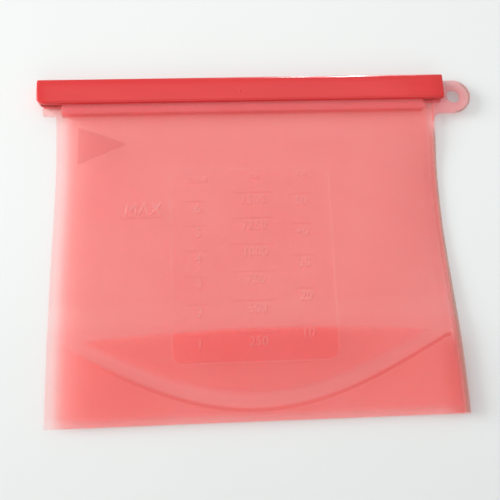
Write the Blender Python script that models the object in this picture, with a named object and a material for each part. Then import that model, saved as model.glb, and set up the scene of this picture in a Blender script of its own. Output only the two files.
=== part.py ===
"""Reusable silicone food bag, empty and lying on its back, closed by a rigid slide bar.

The bag is one silicone moulding. Its walls, seams, lips, gusset leaves and hang tab are modelled as
separate solids with a hairline gap between them, so that the parts that flex can move on joints:

  slide_bar          slides off towards -X
  bag front          rises off the back, which opens the mouth and spreads the base
  gusset leaves      swing about the bottom hems as the front rises
  hang_tab           bends up about its neck

X runs along the bar, Y from the bottom hem to the bar, Z up from the table. Metres.
"""

import math

import bpy
import bmesh
from mathutils import Vector

MM = 0.001

# Slide bar
BAR_LENGTH = 235.0 * MM
BAR_HEIGHT = 15.0 * MM
BAR_THICKNESS = 9.0 * MM
BAR_WALL = 1.7 * MM
BAR_END_WALL = 1.9 * MM
BAR_SLOT = 3.4 * MM
BAR_ROUNDING = 1.6 * MM
BAR_CHAMFER = (3.5 * MM, 2.2 * MM)

# Bag body
BAG_LEFT = -107.6 * MM
BAG_RIGHT = 112.0 * MM
BODY_HEIGHT = 179.0 * MM
THICKNESS = 9.0 * MM
WALL = 1.2 * MM
GAP = 0.3 * MM
SEAM_WIDTH = 3.0 * MM
SEAM_SHORT = 4.0 * MM
CORNER_RADIUS = 2.0 * MM

# Mouth
SHOULDER_LENGTH = 16.0 * MM
COLLAR_HEIGHT = 5.4 * MM
COLLAR_RISE = 1.5 * MM
COLLAR_LEFT = -103.7 * MM
COLLAR_RIGHT = 105.6 * MM
LIP_LEFT = -114.3 * MM
LIP_REACH = 10.4 * MM
BEAD_RADIUS = 1.0 * MM
BEAD_INSET = 3.6 * MM

# Base gusset
GUSSET_DEPTH = 46.0 * MM
HEM = 1.5 * MM
FOLD_WIDTH = 1.8 * MM

# Hang tab
TAB_RADIUS = 10.0 * MM
TAB_CENTRE_X = 124.2 * MM
TAB_CENTRE_Y = 181.0 * MM
TAB_HOLE_RADIUS = 4.1 * MM
TAB_HINGE_X = 119.2 * MM
NECK_END_X = 118.6 * MM
NECK_FILLET = 5.2 * MM

# Levels worked out from the sizes above
BAR_TOP = BODY_HEIGHT + BAR_HEIGHT
MID_Z = THICKNESS / 2
MOUTH_Y = BODY_HEIGHT - GAP - COLLAR_HEIGHT
SHOULDER_Y = MOUTH_Y - SHOULDER_LENGTH
LIP_TOP_Y = BODY_HEIGHT + LIP_REACH
PAIR_HALF = WALL + GAP / 2
GUSSET_LEFT = BAG_LEFT + SEAM_WIDTH + GAP
GUSSET_RIGHT = BAG_RIGHT - SEAM_WIDTH - GAP

# The origin is the centre of the whole object's footprint, on the table.
ORIGIN = Vector(((-BAR_LENGTH / 2 + TAB_CENTRE_X + TAB_RADIUS) / 2, BAR_TOP / 2, 0.0))

SILICONE_PINK = (0.90, 0.27, 0.25)
BAR_RED = (0.78, 0.07, 0.06)


def clear_scene():
    for obj in list(bpy.data.objects):
        bpy.data.objects.remove(obj, do_unlink=True)


def make_material(name, colour, roughness):
    material = bpy.data.materials.new(name)
    material.use_nodes = True
    shader = material.node_tree.nodes["Principled BSDF"]
    shader.inputs["Base Color"].default_value = (*colour, 1.0)
    shader.inputs["Roughness"].default_value = roughness
    shader.inputs["Metallic"].default_value = 0.0
    return material


def make_object(name, mesh_builder, colour, roughness, pivot=(0.0, 0.0, 0.0), parent=None):
    """Turns a bmesh in design coordinates into an object whose origin is at pivot."""
    mesh = bpy.data.meshes.new(name)
    pivot = Vector(pivot)
    bmesh.ops.translate(mesh_builder, verts=mesh_builder.verts, vec=-pivot)
    bmesh.ops.recalc_face_normals(mesh_builder, faces=mesh_builder.faces)
    mesh_builder.to_mesh(mesh)
    mesh_builder.free()
    mesh.shade_smooth()
    mesh.set_sharp_from_angle(angle=math.radians(35.0))
    obj = bpy.data.objects.new(name, mesh)
    obj.data.materials.append(make_material(name, colour, roughness))
    bpy.context.scene.collection.objects.link(obj)
    obj.location = pivot - ORIGIN
    if parent is not None:
        obj.parent = parent
        obj.location = pivot - ORIGIN - parent.location
    return obj


def make_axis(name, pivot):
    """An empty on a joint's axis, which carries the pieces that move with it."""
    empty = bpy.data.objects.new(name, None)
    empty.location = Vector(pivot) - ORIGIN
    bpy.context.scene.collection.objects.link(empty)
    return empty


def prism(outline, axis, low, high):
    """Closed prism: a 2D outline swept from low to high along axis X or Z.

    The outline is (y, z) pairs for axis X and (x, y) pairs for axis Z.
    """
    made = bmesh.new()

    def corner(point, along):
        if axis == "X":
            return made.verts.new((along, point[0], point[1]))
        return made.verts.new((point[0], point[1], along))

    first = [corner(point, low) for point in outline]
    last = [corner(point, high) for point in outline]
    made.faces.new(first)
    made.faces.new(last)
    count = len(outline)
    for i in range(count):
        j = (i + 1) % count
        made.faces.new((first[i], first[j], last[j], last[i]))
    bmesh.ops.recalc_face_normals(made, faces=made.faces)
    return made


def arc(centre, radius, start_deg, end_deg, steps):
    """Points on a circle's arc, both ends included."""
    points = []
    for i in range(steps + 1):
        angle = math.radians(start_deg + (end_deg - start_deg) * i / steps)
        points.append((centre[0] + radius * math.cos(angle), centre[1] + radius * math.sin(angle)))
    return points


def rounded_rectangle(left, right, low, high, radius, steps=5):
    corners = (
        ((right - radius, high - radius), 0.0),
        ((left + radius, high - radius), 90.0),
        ((left + radius, low + radius), 180.0),
        ((right - radius, low + radius), 270.0),
    )
    outline = []
    for centre, start in corners:
        outline += arc(centre, radius, start, start + 90.0, steps)
    return outline


def mirrored(outline):
    """The same (y, z) outline on the other side of the bag's middle plane."""
    return [(y, THICKNESS - z) for y, z in reversed(outline)]


def cut(obj, cutters):
    """Subtracts solids from obj with exact Booleans; the cutters stay as guides."""
    for cutter in cutters:
        modifier = obj.modifiers.new(cutter.name, "BOOLEAN")
        modifier.operation = "DIFFERENCE"
        modifier.solver = "EXACT"
        modifier.object = cutter


def make_cutter(name, builder):
    mesh = bpy.data.meshes.new(name)
    bmesh.ops.recalc_face_normals(builder, faces=builder.faces)
    builder.to_mesh(mesh)
    builder.free()
    cutter = bpy.data.objects.new(name, mesh)
    cutter.location = -ORIGIN
    cutter.hide_render = True
    cutter.display_type = "WIRE"
    bpy.context.scene.collection.objects.link(cutter)
    return cutter


def side_profiles():
    """(y, z) outlines of the front half's sections, all convex or nearly so."""
    top = THICKNESS
    lip_low = MID_Z + GAP / 2
    wall = [(0.0, top - WALL), (SHOULDER_Y, top - WALL), (SHOULDER_Y, top), (0.0, top)]
    shoulder = [
        (SHOULDER_Y + GAP, top - WALL),
        (MOUTH_Y - GAP, lip_low),
        (MOUTH_Y - GAP, lip_low + WALL),
        (SHOULDER_Y + GAP, top),
    ]
    collar = [
        (MOUTH_Y, lip_low + WALL + GAP),
        (MOUTH_Y + COLLAR_HEIGHT, lip_low + WALL + GAP),
        (MOUTH_Y + COLLAR_HEIGHT, lip_low + WALL + COLLAR_RISE),
        (MOUTH_Y + COLLAR_HEIGHT - 0.8 * MM, lip_low + WALL + GAP + COLLAR_RISE),
        (MOUTH_Y + 0.8 * MM, lip_low + WALL + GAP + COLLAR_RISE),
        (MOUTH_Y, lip_low + WALL + COLLAR_RISE),
    ]
    hem = [(0.0, top - 2 * WALL - GAP), (HEM, top - 2 * WALL - GAP), (HEM, top - WALL - GAP),
           (0.0, top - WALL - GAP)]
    return {"wall": wall, "shoulder": shoulder, "collar": collar, "hem": hem}


def lip_profile():
    """(y, z) outline of the front lip: a thin sheet with a half-round bead on its outer face."""
    low = MID_Z + GAP / 2
    bead_y = LIP_TOP_Y - BEAD_INSET
    outline = [(MOUTH_Y, low), (LIP_TOP_Y, low), (LIP_TOP_Y, low + WALL)]
    outline += arc((bead_y, low + WALL), BEAD_RADIUS, 0.0, 180.0, 8)
    outline.append((MOUTH_Y, low + WALL))
    return outline


def leaf_profile():
    """(y, z) outline of the back gusset leaf: a sheet that ends in half of the fold's bend."""
    low = WALL + GAP
    fold_top = MID_Z - GAP / 2
    return [
        (HEM + GAP, low),
        (GUSSET_DEPTH, low),
        (GUSSET_DEPTH, fold_top),
        (GUSSET_DEPTH - FOLD_WIDTH, fold_top),
        (GUSSET_DEPTH - FOLD_WIDTH, low + WALL),
        (HEM + GAP, low + WALL),
    ]


def seam_profile():
    """(y, z) outline of a side seam, which fills the bag's edge between its two walls."""
    low = WALL + GAP
    end_y = MOUTH_Y - SEAM_SHORT
    slope = (MID_Z - WALL - GAP / 2) / (SHOULDER_LENGTH - 2 * GAP)
    end_half = GAP / 2 + slope * (SEAM_SHORT - GAP) - GAP
    return [
        (0.0, low),
        (SHOULDER_Y, low),
        (end_y, MID_Z - end_half),
        (end_y, MID_Z + end_half),
        (SHOULDER_Y, THICKNESS - low),
        (0.0, THICKNESS - low),
    ]


def make_wall_pieces(side, parent):
    """Wall, shoulder, collar, lip and hem of the front or the back half."""
    profiles = side_profiles()
    profiles["lip"] = lip_profile()
    spans = {
        "shoulder": (BAG_LEFT, BAG_RIGHT),
        "collar": (COLLAR_LEFT, COLLAR_RIGHT),
        "lip": (LIP_LEFT, BAG_RIGHT),
        "hem": (GUSSET_LEFT, GUSSET_RIGHT),
    }
    for part, (left, right) in spans.items():
        outline = profiles[part] if side == "front" else mirrored(profiles[part])
        make_object(f"{side}_{part}", prism(outline, "X", left, right), SILICONE_PINK, 0.5, parent=parent)
    levels = (THICKNESS - WALL, THICKNESS) if side == "front" else (0.0, WALL)
    outline = rounded_rectangle(BAG_LEFT, BAG_RIGHT, 0.0, SHOULDER_Y, CORNER_RADIUS)
    make_object(f"{side}_wall", prism(outline, "Z", *levels), SILICONE_PINK, 0.5, parent=parent)


def make_side_seams():
    spans = {"left": (BAG_LEFT, BAG_LEFT + SEAM_WIDTH), "right": (BAG_RIGHT - SEAM_WIDTH, BAG_RIGHT)}
    for side, (low, high) in spans.items():
        make_object(f"{side}_side_seam", prism(seam_profile(), "X", low, high), SILICONE_PINK, 0.5)


def make_gusset_leaves():
    """Two leaves folded up into the bag, each with its origin on its own hem's hinge line."""
    hinge_z = WALL + GAP + WALL / 2
    outlines = {"back": leaf_profile(), "front": mirrored(leaf_profile())}
    heights = {"back": hinge_z, "front": THICKNESS - hinge_z}
    for side, outline in outlines.items():
        make_object(
            f"gusset_{side}_leaf",
            prism(outline, "X", GUSSET_LEFT, GUSSET_RIGHT),
            SILICONE_PINK,
            0.5,
            pivot=(0.0, HEM + GAP, heights[side]),
        )


def neck_outline():
    """(x, y) outline of the tab's neck, with the concave fillet into the bag's side."""
    left = BAG_RIGHT + GAP
    tab_low = TAB_CENTRE_Y - TAB_RADIUS
    fillet_centre = (left + NECK_FILLET, tab_low - NECK_FILLET)
    outline = arc(fillet_centre, NECK_FILLET, 180.0, 90.0, 6)
    outline += [
        (NECK_END_X, tab_low),
        (NECK_END_X, TAB_CENTRE_Y + TAB_RADIUS),
        (BAR_LENGTH / 2 + GAP, TAB_CENTRE_Y + TAB_RADIUS),
        (BAR_LENGTH / 2 + GAP, LIP_TOP_Y),
        (left, LIP_TOP_Y),
    ]
    return outline


def make_hang_tab():
    """Round-ended tab with a through hole; its origin is on the bend line, at its upper face."""
    low, high = MID_Z - PAIR_HALF, MID_Z + PAIR_HALF
    make_object("tab_neck", prism(neck_outline(), "Z", low, high), SILICONE_PINK, 0.5)
    outline = [(TAB_HINGE_X, TAB_CENTRE_Y - TAB_RADIUS)]
    outline += arc((TAB_CENTRE_X, TAB_CENTRE_Y), TAB_RADIUS, -90.0, 90.0, 20)
    outline.append((TAB_HINGE_X, TAB_CENTRE_Y + TAB_RADIUS))
    tab = make_object(
        "hang_tab",
        prism(outline, "Z", low, high),
        SILICONE_PINK,
        0.5,
        pivot=(TAB_HINGE_X, TAB_CENTRE_Y, high),
    )
    hole = arc((TAB_CENTRE_X, TAB_CENTRE_Y), TAB_HOLE_RADIUS, 0.0, 345.0, 23)
    cut(tab, [make_cutter("tab_hole_cutter", prism(hole, "Z", low - WALL, high + WALL))])


def bar_outline():
    """(x, y) outline of the bar's face, with the lower corner of its closed end chamfered."""
    left, right = -BAR_LENGTH / 2, BAR_LENGTH / 2
    return [
        (left + BAR_CHAMFER[0], BODY_HEIGHT),
        (right, BODY_HEIGHT),
        (right, BAR_TOP),
        (left, BAR_TOP),
        (left, BODY_HEIGHT + BAR_CHAMFER[1]),
    ]


def make_slide_bar():
    """C-channel, closed at its left end and open at its right, that grips both lips."""
    builder = prism(bar_outline(), "Z", 0.0, BAR_THICKNESS)
    bmesh.ops.bevel(
        builder,
        geom=list(builder.edges),
        offset=BAR_ROUNDING,
        offset_type="OFFSET",
        segments=3,
        profile=0.5,
        affect="EDGES",
        clamp_overlap=True,
    )
    bar = make_object(
        "slide_bar", builder, BAR_RED, 0.16, pivot=(0.0, BODY_HEIGHT + BAR_HEIGHT / 2, MID_Z)
    )
    start = -BAR_LENGTH / 2 + BAR_END_WALL
    end = BAR_LENGTH / 2 + BAR_WALL
    chamber = [
        (BODY_HEIGHT + BAR_WALL, BAR_WALL),
        (BAR_TOP - BAR_WALL, BAR_WALL),
        (BAR_TOP - BAR_WALL, BAR_THICKNESS - BAR_WALL),
        (BODY_HEIGHT + BAR_WALL, BAR_THICKNESS - BAR_WALL),
    ]
    slot = [
        (BODY_HEIGHT - BAR_WALL, MID_Z - BAR_SLOT / 2),
        (BODY_HEIGHT + 2 * BAR_WALL, MID_Z - BAR_SLOT / 2),
        (BODY_HEIGHT + 2 * BAR_WALL, MID_Z + BAR_SLOT / 2),
        (BODY_HEIGHT - BAR_WALL, MID_Z + BAR_SLOT / 2),
    ]
    cut(
        bar,
        [
            make_cutter("bar_chamber_cutter", prism(chamber, "X", start, end)),
            make_cutter("bar_slot_cutter", prism(slot, "X", start, end)),
        ],
    )


def main():
    clear_scene()
    front_axis = make_axis("front_rise_axis", (0.0, 0.0, THICKNESS))
    make_wall_pieces("back", None)
    make_wall_pieces("front", front_axis)
    make_side_seams()
    make_gusset_leaves()
    make_hang_tab()
    make_slide_bar()


main()
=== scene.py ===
"""Looks of the reusable silicone bag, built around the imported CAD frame.

Shapes are worked out in millimetres in the bag's own axes: x from the middle of the slide bar towards the
hang tab, y from the bottom hem towards the bar, z up from the table. to_frame() turns them into metres in
the frame's axes. The places of the bar, mouth, gusset and tab are read from the CAD nodes.
"""

import math

import bmesh
import bpy
import numpy as np
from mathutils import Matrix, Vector


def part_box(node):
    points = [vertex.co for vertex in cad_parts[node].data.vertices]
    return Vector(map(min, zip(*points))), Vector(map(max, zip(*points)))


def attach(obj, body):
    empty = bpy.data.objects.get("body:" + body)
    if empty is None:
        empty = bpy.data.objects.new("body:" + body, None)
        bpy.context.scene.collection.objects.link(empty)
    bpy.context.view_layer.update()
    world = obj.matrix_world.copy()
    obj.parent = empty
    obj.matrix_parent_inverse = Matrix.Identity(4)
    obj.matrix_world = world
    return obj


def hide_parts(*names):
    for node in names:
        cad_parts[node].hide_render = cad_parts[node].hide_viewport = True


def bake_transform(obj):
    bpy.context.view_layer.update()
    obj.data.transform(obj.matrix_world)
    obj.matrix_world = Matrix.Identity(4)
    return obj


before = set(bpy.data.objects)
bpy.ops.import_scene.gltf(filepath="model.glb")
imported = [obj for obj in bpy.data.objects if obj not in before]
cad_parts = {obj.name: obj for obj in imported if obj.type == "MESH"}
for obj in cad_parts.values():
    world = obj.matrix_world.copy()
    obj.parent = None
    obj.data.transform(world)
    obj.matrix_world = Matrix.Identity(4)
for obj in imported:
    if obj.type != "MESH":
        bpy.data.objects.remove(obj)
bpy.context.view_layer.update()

MM = 0.001
BAR_MIDDLE_X = (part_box("slide_bar")[0].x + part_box("slide_bar")[1].x) / 2
HEM_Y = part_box("back_wall")[0].y


def cad_box(node):
    """Lowest and highest corner of a CAD node, in the bag's own millimetres."""
    shift = Vector((BAR_MIDDLE_X, HEM_Y, 0.0))
    low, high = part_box(node)
    return (low - shift) / MM, (high - shift) / MM


BAR_LOW, BAR_HIGH = cad_box("slide_bar")
COLLAR_LOW, COLLAR_HIGH = cad_box("front_collar")
LIP_LOW, LIP_HIGH = cad_box("back_lip")
TAB_LOW, TAB_HIGH = cad_box("hang_tab")

# Bag
MID_Z = (BAR_LOW.z + BAR_HIGH.z) / 2
LEFT = cad_box("left_side_seam")[0].x
RIGHT = cad_box("right_side_seam")[1].x
CENTRE_X = (LEFT + RIGHT) / 2
MOUTH_Y = COLLAR_LOW.y
LIP_TOP = LIP_HIGH.y
FLANGE_LEFT = LIP_LOW.x
WALL = 1.2
CAVITY_HALF = 0.08
SWELL_REACH = 42.0
BODY_HALF = 4.0
HEM_HALF = 3.3
MOUTH_HALF = 1.35
RIB_WIDTH = 1.1

# How far the foot of a raised layer lies inside what it stands on
EMBED = 0.04

# Side seams: their outlines stand a little outside the CAD's at the base, and are drawn in higher up
SEAM_WIDTH = 3.0
SEAM_HALF = 1.3
FUSED_SEAM_EXTRA = 0.75
SEAM_STEPS = 9
SEAM_ROUNDING = 0.7
LEFT_SPREAD = 0.6
LEFT_PULL = 2.2
RIGHT_SPREAD = 2.1
RIGHT_PULL = 3.5

# Lips
BEAD_Y = LIP_TOP - 3.6
BEAD_RISE = 0.9
LIP_ROUNDING = 0.35
END_SHRINK = 0.3

# Base gusset
FOLD_Y = cad_box("gusset_back_leaf")[1].y
FOLD_BOW = 5.2
FOLD_END_DROP = 2.6
FOLD_HALF = 1.15
FOLD_HALF_AT_SEAM = 0.34
FOLD_START, FOLD_END = 0.46, 0.54
LEAF = 0.95
LEAF_AT_SEAM = 0.55
LEAF_FOOT = 0.2
ARC_FOOT = 7.0
ARC_RISE = 36.0
ARC_HALF_WIDTH = 104.0
BAND_WIDTH = 8.0
PLATFORM_CENTRE = (4.0, 46.5)
PLATFORM_SIZE = (65.5, 31.2)

# Arrow and scale
ARROW = (-93.6, -66.2, 142.4, 164.8)
PANEL = (-42.0, 46.3, 30.5, 137.5)
PANEL_CORNER = 4.8
RELIEF = 0.3
TICK_RISE = 3.9
TICK_WIDTH = 0.7
CUP_ML = 236.6
OUNCE_ML = 29.57
SCALE_FOOT = 41.7
SCALE_HEIGHT = 78.0
SCALE_FIRST = 250.0
SCALE_LAST = 1500.0
NUMBER_DROP = 2.7

# Columns of the scale: numbers, millilitres to the unit, ends of the ticks, x and size of the numbers
SCALE_COLUMNS = (
    (range(1, 7), CUP_ML, (-34.5, -22.5), -27.6, 7.4),
    (range(250, 1501, 250), 1.0, (-8.5, 14.5), 3.4, 7.0),
    (range(10, 51, 10), OUNCE_ML, (23.5, 35.5), 30.0, 7.2),
)

# Words on the bag: text, x, y and size
WORDS = (
    ("cups", -27.4, 130.4, 6.2),
    ("ml", 4.6, 131.9, 6.2),
    ("oz", 31.5, 132.6, 6.2),
    ("MAX", -57.4, 112.0, 9.6),
)

# Painted shade along the thick edges: thin dark slabs just inside them
EDGE_SHADE_INSET = 0.04
EDGE_SHADE_DEPTHS = (0.0, 0.7, 1.2, 1.2)

# Hang tab
NECK_FILLET = 5.2
TAB_ROOT = cad_box("tab_neck")[0].x - 1.1
TAB_RADIUS = (TAB_HIGH.y - TAB_LOW.y) / 2
TAB_CENTRE = (TAB_HIGH.x - TAB_RADIUS, (TAB_HIGH.y + TAB_LOW.y) / 2)
TAB_HOLE = 4.1
TAB_ROUNDING = 0.5

# Slide bar
BAR_WALL = 1.7
BAR_END_WALL = 1.9
BAR_SLOT = 3.4
BAR_CHAMFER = (3.5, 2.2)
BAR_CROWN = 1.8
BAR_EASE = 1.5
GATE_MARK = (-1.7, 184.6)
GATE_MARK_SIZE = (0.45, 1.1, 0.3)


# ------------------------------ helpers


def smooth(value):
    """0 below 0, 1 above 1, and an S curve in between."""
    t = np.clip(value, 0.0, 1.0)
    return t * t * (3.0 - 2.0 * t)


def mix(a, b, share):
    """a at share 0, b at share 1."""
    return a + (b - a) * share


def hump(value, centre, width):
    """Bell curve: 1 at the centre, falling to nothing within about two widths."""
    return np.exp(-(((value - centre) / width) ** 2))


def to_frame(points):
    """The bag's own millimetres to the frame's metres."""
    points = np.asarray(points, float).reshape(-1, 3) * MM
    return points + np.array((BAR_MIDDLE_X, HEM_Y, 0.0))


def add_object(name, data):
    """A new object in the scene."""
    item = bpy.data.objects.new(name, data)
    bpy.context.scene.collection.objects.link(item)
    return item


def make_piece(name, points, faces, material):
    """One visible mesh, smooth but for its sharp edges."""
    mesh = bpy.data.meshes.new(name)
    mesh.from_pydata(to_frame(points).tolist(), [], faces)
    mesh.validate()
    shell = bmesh.new()
    shell.from_mesh(mesh)
    bmesh.ops.recalc_face_normals(shell, faces=shell.faces)
    shell.to_mesh(mesh)
    shell.free()
    mesh.shade_smooth()
    mesh.set_sharp_from_angle(angle=math.radians(50.0))
    mesh.materials.append(material)
    piece = add_object(name, mesh)
    set_depth(piece, 1.0)
    return piece


def set_depth(piece, depth_and_painted_light):
    """Stores how much silicone the surface stands for, with painted light and shade mixed in, which the
    silicone material reads.

    The value is one number, or one for each point, or one for each point of a slab's grid.
    """
    mesh = piece.data
    count = len(mesh.vertices)
    values = np.ravel(depth_and_painted_light)
    if values.size * 2 == count:
        values = np.tile(values, 2)
    attribute = mesh.attributes.get("depth_and_painted_light") or mesh.attributes.new("depth_and_painted_light", "FLOAT", "POINT")
    attribute.data.foreach_set("value", np.full(count, values, np.float32))


def grid_faces(rows, columns, start=0, wrap=False):
    """Quads of a grid whose points are stored row by row."""
    faces = []
    last = columns if wrap else columns - 1
    for r in range(rows - 1):
        for c in range(last):
            d = (c + 1) % columns
            a = start + r * columns
            b = a + columns
            faces.append((a + c, a + d, b + d, b + c))
    return faces


def slab(top, bottom):
    """Closed solid between two grids of the same size: points and faces."""
    rows, columns = top.shape[:2]
    count = rows * columns
    points = np.concatenate((top.reshape(-1, 3), bottom.reshape(-1, 3)))
    faces = grid_faces(rows, columns)
    faces += [tuple(reversed(face)) for face in grid_faces(rows, columns, count)]
    border = list(range(columns))
    border += [r * columns + columns - 1 for r in range(1, rows)]
    border += [(rows - 1) * columns + c for c in range(columns - 2, -1, -1)]
    border += [r * columns for r in range(rows - 2, 0, -1)]
    for a, b in zip(border, border[1:] + border[:1]):
        faces.append((b, a, count + a, count + b))
    return points, faces


# ------------------------------ bag shape


def left_edge(y):
    """x of the bag's left outline, which steps out to the lips' flange at the mouth."""
    body = LEFT - LEFT_SPREAD + LEFT_PULL * hump(y, 140.0, 52.0)
    return np.where(y > MOUTH_Y - 0.25, FLANGE_LEFT, body)


def right_edge(y):
    """x of the bag's right outline, which runs into the hang tab's root."""
    body = RIGHT + RIGHT_SPREAD - RIGHT_PULL * hump(y, 122.0, 70.0)
    return mix(body, TAB_ROOT, smooth((y - 150.0) / 16.0))


def cavity_left(y):
    """x where the left seam ends and the bag's inside begins."""
    return left_edge(np.minimum(y, MOUTH_Y - 1.0)) + SEAM_WIDTH


def cavity_right(y):
    """x where the bag's inside ends and the right seam begins."""
    return right_edge(y) - SEAM_WIDTH


def from_seam(x, y):
    """Distance inwards from the nearer side seam."""
    return np.minimum(x - cavity_left(y), cavity_right(y) - x)


def swell(x, y):
    """0 at the side seams and 1 from SWELL_REACH inwards: how far the bag puffs out."""
    t = np.clip(from_seam(x, y) / SWELL_REACH, 0.0, 1.0)
    return 1.0 - (1.0 - t) ** 2.4


def seam_half(y):
    """Half the seam's thickness: thicker where the gusset's leaves are fused into it."""
    return mix(SEAM_HALF + FUSED_SEAM_EXTRA, SEAM_HALF, smooth((y - FOLD_Y) / 7.0))


def centre_half(y):
    """Half the bag's thickness away from its side seams, with the sealing bead on its lips."""
    body = mix(HEM_HALF, BODY_HALF, smooth(y / 34.0))
    mouth = mix(body, MOUTH_HALF, smooth((y - 151.0) / (MOUTH_Y - 152.5)))
    return mouth + BEAD_RISE * hump(y, BEAD_Y, 0.8)


def middle(x, y):
    """Height of the bag's middle plane: it sits on the table in the middle, its edges stand off."""
    lying = np.minimum(centre_half(np.minimum(y, 150.0)), MID_Z)
    flat = mix(lying, MID_Z, smooth((y - 128.0) / 46.0))
    right = smooth((x - CENTRE_X) / 80.0)
    left_seam = MID_Z - 0.7 * hump(y, 78.0, 60.0)
    right_seam = mix(MID_Z + 0.6, 1.4, smooth((y - 25.0) / 85.0))
    right_seam = mix(right_seam, MID_Z, smooth((y - 130.0) / 40.0))
    seam = mix(left_seam, right_seam, right)
    wave = 0.22 * np.sin(x / 17.0 + 1.1) * np.sin(y / 23.0 + 0.6) * swell(x, y)
    return mix(seam, flat, swell(x, y)) + wave * (1.0 - smooth((y - 120.0) / 45.0))


def half(x, y):
    """Half the bag's thickness."""
    return mix(seam_half(y), centre_half(y), swell(x, y))


def front_z(x, y):
    """Height of the bag's front face."""
    return middle(x, y) + half(x, y)


def back_z(x, y):
    """Height of the bag's back face, which never goes below the table."""
    return np.maximum(middle(x, y) - half(x, y), 0.03)


def inner_half(x, y):
    """Half the height of the cavity between the walls."""
    return np.maximum(half(x, y) - WALL, CAVITY_HALF)


def opening_share(x, y):
    """How much of the front's rise a point on the front wall takes: none at the side seams."""
    reach = (cavity_right(y) - cavity_left(y)) / 2
    t = np.clip(from_seam(x, y) / reach, 0.0, 1.0)
    return np.sin(t * math.pi / 2)


def follow_opening(piece, layer_share):
    """Works out how a piece would bend between the bag's back and its front, but bends nothing.

    A bag opens like a pillow, held together along both side seams, so the weight of each point is
    opening_share() times the share that the piece's layer takes. The piece's place is baked into its points;
    the weights are not applied.
    """
    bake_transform(piece)
    points = np.array([v.co for v in piece.data.vertices], float).reshape(-1, 3)
    local = (points - np.array((BAR_MIDDLE_X, HEM_Y, 0.0))) / MM
    x, y = local[:, 0], local[:, 1]
    weights = opening_share(x, y) * layer_share(local)


def all_of_it(local):
    """The layer share of a piece that lies on the front wall."""
    return np.ones(len(local))


# ------------------------------ materials


def new_material(name):
    """A node material and its nodes."""
    material = bpy.data.materials.new(name)
    material.use_nodes = True
    return material, material.node_tree.nodes


def connect(source, output, target, socket):
    """Links one node's output to another's input."""
    source.id_data.links.new(source.outputs[output], target.inputs[socket])


def add_node(nodes, kind, values):
    """A shader node whose inputs are set by name."""
    node = nodes.new(kind)
    for name, value in values.items():
        node.inputs[name].default_value = value
    return node


def add_noise(nodes, scale, detail):
    """Soft clouds of values between 0 and 1."""
    return add_node(nodes, "ShaderNodeTexNoise", {"Scale": scale, "Detail": detail})


def add_bump(nodes, strength, distance):
    """Turns a height into a slight unevenness of the surface."""
    return add_node(nodes, "ShaderNodeBump", {"Strength": strength, "Distance": distance})


def add_range(nodes, source, result):
    """Maps one range of values to another."""
    limits = {"From Min": source[0], "From Max": source[1], "To Min": result[0], "To Max": result[1]}
    return add_node(nodes, "ShaderNodeMapRange", limits)


def add_colours(nodes, first, second):
    """Mixes two colours by its factor."""
    node = nodes.new("ShaderNodeMix")
    node.data_type = "RGBA"
    node.inputs["A"].default_value = (*first, 1.0)
    node.inputs["B"].default_value = (*second, 1.0)
    return node


def silicone(name, colour, tint, opacity):
    """Matte translucent silicone: part of the light passes straight through, tinted."""
    material, nodes = new_material(name)
    output, body = nodes["Material Output"], nodes["Principled BSDF"]
    body.inputs["Specular IOR Level"].default_value = 0.35
    body.inputs["Sheen Weight"].default_value = 0.12
    body.inputs["Sheen Roughness"].default_value = 0.5
    clear = nodes.new("ShaderNodeBsdfTransparent")
    blend = nodes.new("ShaderNodeMixShader")
    # The attribute holds the amount of silicone with painted light and shade mixed in; it sets the opacity
    # and the tint
    depth_and_painted_light = nodes.new("ShaderNodeAttribute")
    depth_and_painted_light.attribute_name = "depth_and_painted_light"
    share = nodes.new("ShaderNodeMath")
    share.operation = "MULTIPLY"
    share.inputs[1].default_value = opacity
    stain = add_colours(nodes, (1.0, 1.0, 1.0), tint)
    stain.clamp_factor = False
    connect(depth_and_painted_light, "Fac", share, 0)
    connect(depth_and_painted_light, "Fac", stain, "Factor")
    connect(share, "Value", blend, "Fac")
    connect(stain, "Result", clear, "Color")
    connect(clear, "BSDF", blend, 1)
    connect(body, "BSDF", blend, 2)
    connect(blend, "Shader", output, "Surface")

    red, green, blue = colour
    place = nodes.new("ShaderNodeTexCoord")
    cloud = add_noise(nodes, 30.0, 3.0)
    shade = add_colours(nodes, (red * 0.98, green * 0.86, blue * 0.86), (red, green * 1.1, blue * 1.1))
    grain = add_noise(nodes, 2600.0, 2.0)
    rough = add_range(nodes, (0.0, 1.0), (0.42, 0.6))
    bump = add_bump(nodes, 0.12, 0.00012)
    connect(place, "Object", cloud, "Vector")
    connect(place, "Object", grain, "Vector")
    connect(cloud, "Fac", shade, "Factor")
    connect(shade, "Result", body, "Base Color")
    connect(grain, "Fac", rough, "Value")
    connect(rough, "Result", body, "Roughness")
    connect(grain, "Fac", bump, "Height")
    connect(bump, "Normal", body, "Normal")
    return material


def bar_plastic():
    """Glossy red moulding with faint flow marks and handling scuffs."""
    material, nodes = new_material("bar_plastic")
    body = nodes["Principled BSDF"]
    body.inputs["Specular IOR Level"].default_value = 0.4
    body.inputs["Coat Weight"].default_value = 0.2
    body.inputs["Coat Roughness"].default_value = 0.06
    place = nodes.new("ShaderNodeTexCoord")
    stretch = add_node(nodes, "ShaderNodeMapping", {"Scale": (0.18, 1.0, 1.0)})
    flow = add_noise(nodes, 120.0, 4.0)
    shade = add_colours(nodes, (0.62, 0.026, 0.028), (0.72, 0.036, 0.037))
    scuffs = add_noise(nodes, 700.0, 5.0)
    rough = add_range(nodes, (0.35, 0.75), (0.14, 0.26))
    bump = add_bump(nodes, 0.035, 0.0002)
    connect(place, "Object", stretch, "Vector")
    connect(stretch, "Vector", flow, "Vector")
    connect(stretch, "Vector", scuffs, "Vector")
    connect(flow, "Fac", shade, "Factor")
    connect(shade, "Result", body, "Base Color")
    connect(scuffs, "Fac", rough, "Value")
    connect(rough, "Result", body, "Roughness")
    connect(flow, "Fac", bump, "Height")
    connect(bump, "Normal", body, "Normal")
    return material


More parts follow.
